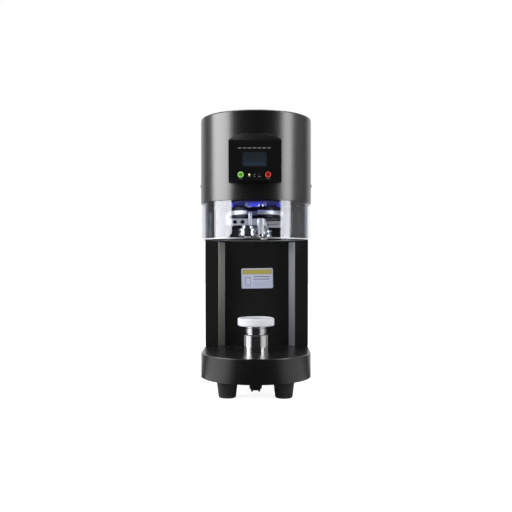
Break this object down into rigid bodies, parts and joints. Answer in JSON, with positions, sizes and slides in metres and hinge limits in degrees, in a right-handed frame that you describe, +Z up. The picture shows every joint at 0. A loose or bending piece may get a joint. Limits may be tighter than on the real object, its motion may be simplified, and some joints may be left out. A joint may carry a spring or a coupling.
{
  "type": "can seamer",
  "caption": "Bench can seamer: D-shaped base and head on a rear column, lifting can table, clear guard and a turning seaming turret with closing rollers",
  "frame": {"origin": "middle of the part's footprint, on the bench surface under the feet", "axes": "+Z up, front of the machine faces -Y, +X to its right as seen from the front"},
  "size_m": [0.2124, 0.2686, 0.52],
  "materials": {
    "black_shell": "satin black powder coat",
    "column_black": "satin black powder coat",
    "trim_grey": "dark brushed anodised",
    "foot_rubber": "matte",
    "zinc_steel": "zinc plated",
    "black_screw": "black oxide",
    "bright_chrome": "polished",
    "white_nylon": "satin",
    "bearing_steel": "ground",
    "bronze": "machined",
    "motor_grey": "satin",
    "black_plastic": "moulded",
    "clear_guard": "clear acrylic",
    "blue_light": "blue light strip",
    "turned_steel": "turned and polished",
    "turret_black": "black oxide",
    "spindle_steel": "ground",
    "fascia_black": "gloss",
    "board": "display glass and board",
    "green_button": "gloss",
    "red_button": "gloss",
    "rocker_red": "gloss"
  },
  "bodies": {
    "root": {"base_housing": "black_shell", "base_plate": "zinc_steel", "rubber_feet": "foot_rubber", "foot_screws": "zinc_steel", "support_posts": "zinc_steel", "lift_sleeve": "bright_chrome", "wiper_seal": "foot_rubber", "lift_bearing": "bearing_steel", "lift_motor": "motor_grey", "lift_motor_cap": "black_plastic", "cap_screws": "black_screw", "power_supply": "zinc_steel", "power_inlet": "black_plastic", "switch_frame": "black_plastic", "column_shell": "column_black", "corner_trim_left": "trim_grey", "corner_trim_right": "trim_grey", "rear_cover": "column_black", "rear_cover_screws": "black_screw", "head_plate": "zinc_steel", "head_shell": "black_shell", "head_lid": "black_shell", "lid_screws": "black_screw", "housing_screws": "black_screw", "guard": "clear_guard", "guard_ring": "black_plastic", "led_ring": "blue_light", "spindle_bearing": "bearing_steel", "main_motor": "motor_grey", "chuck_bridge": "zinc_steel", "chuck_shaft": "bearing_steel", "seaming_chuck": "turned_steel", "control_box": "black_shell", "control_fascia": "fascia_black", "display_board": "board"},
    "rocker": {"power_rocker": "rocker_red"},
    "lift_drive": {"lift_screw": "bearing_steel", "lift_gear": "bronze"},
    "lift_pinion": {"lift_pinion": "bearing_steel"},
    "lift_table": {"lift_ram": "bright_chrome", "lift_nut": "bronze", "can_table": "white_nylon", "table_screw": "bearing_steel"},
    "turret": {"turret_spindle": "spindle_steel", "turret_flange": "turret_black", "main_gear": "bronze", "turret_posts": "turned_steel", "turret_upper_plate": "turret_black", "turret_middle_plate": "turned_steel", "turret_lower_plate": "turret_black", "spacer_posts": "turned_steel", "pivot_posts": "turned_steel"},
    "seaming_pinion": {"motor_pinion": "bearing_steel"},
    "feed_cone": {"feed_cone": "spindle_steel"},
    "front_lever": {"front_lever": "turned_steel"},
    "rear_lever": {"rear_lever": "turned_steel"},
    "first_roller": {"first_roller": "turned_steel"},
    "second_roller": {"second_roller": "turned_steel"},
    "start_button": {"start_button": "green_button"},
    "stop_button": {"stop_button": "red_button"}
  },
  "joints": [
    {"name": "turret_spin", "type": "hinge", "parent": "root", "child": "turret", "pos_m": [0, -0.01325, 0.365], "axis": [0, 0, 1], "continuous": true},
    {"name": "seaming_pinion_spin", "type": "hinge", "parent": "root", "child": "seaming_pinion", "pos_m": [0, 0.04675, 0.369], "axis": [0, 0, 1], "continuous": true},
    {"name": "cone_feed", "type": "slide", "parent": "turret", "child": "feed_cone", "axis": [0, 0, 1], "range_m": [0, 0.006]},
    {"name": "front_lever_close", "type": "hinge", "parent": "turret", "child": "front_lever", "pos_m": [0.0095, -0.05625, 0.323], "axis": [0, 0, 1], "range_deg": [-6.5, 0]},
    {"name": "rear_lever_close", "type": "hinge", "parent": "turret", "child": "rear_lever", "pos_m": [-0.0095, 0.02975, 0.323], "axis": [0, 0, 1], "range_deg": [-6.5, 0]},
    {"name": "first_roller_spin", "type": "hinge", "parent": "front_lever", "child": "first_roller", "pos_m": [-0.015, -0.05525, 0.306], "axis": [0, 0, 1], "continuous": true},
    {"name": "second_roller_spin", "type": "hinge", "parent": "rear_lever", "child": "second_roller", "pos_m": [0.015, 0.02875, 0.306], "axis": [0, 0, 1], "continuous": true},
    {"name": "table_lift", "type": "slide", "parent": "root", "child": "lift_table", "axis": [0, 0, 1], "range_m": [0, 0.025]},
    {"name": "lift_screw_turn", "type": "hinge", "parent": "root", "child": "lift_drive", "pos_m": [0, -0.01325, 0.044], "axis": [0, 0, 1], "range_deg": [-1125, 0]},
    {"name": "lift_pinion_spin", "type": "hinge", "parent": "root", "child": "lift_pinion", "pos_m": [0, -0.06125, 0.044], "axis": [0, 0, 1], "range_deg": [0, 3375]},
    {"name": "start_press", "type": "slide", "parent": "root", "child": "start_button", "axis": [0, 1, 0], "range_m": [0, 0.0015], "stiffness_N_per_m": 300},
    {"name": "stop_press", "type": "slide", "parent": "root", "child": "stop_button", "axis": [0, 1, 0], "range_m": [0, 0.0015], "stiffness_N_per_m": 300},
    {"name": "rocker_tilt", "type": "hinge", "parent": "root", "child": "rocker", "pos_m": [0.04, 0.12875, 0.054], "axis": [1, 0, 0], "range_deg": [0, 16]}
  ],
  "couplings": [
    {"joint": "seaming_pinion_spin", "follows": "turret_spin", "ratio": -3},
    {"joint": "front_lever_close", "follows": "cone_feed", "rad_per_m": -18.908},
    {"joint": "rear_lever_close", "follows": "cone_feed", "rad_per_m": -18.908},
    {"joint": "lift_screw_turn", "follows": "table_lift", "rad_per_m": -785.4},
    {"joint": "lift_pinion_spin", "follows": "table_lift", "rad_per_m": 2356.2}
  ]
}
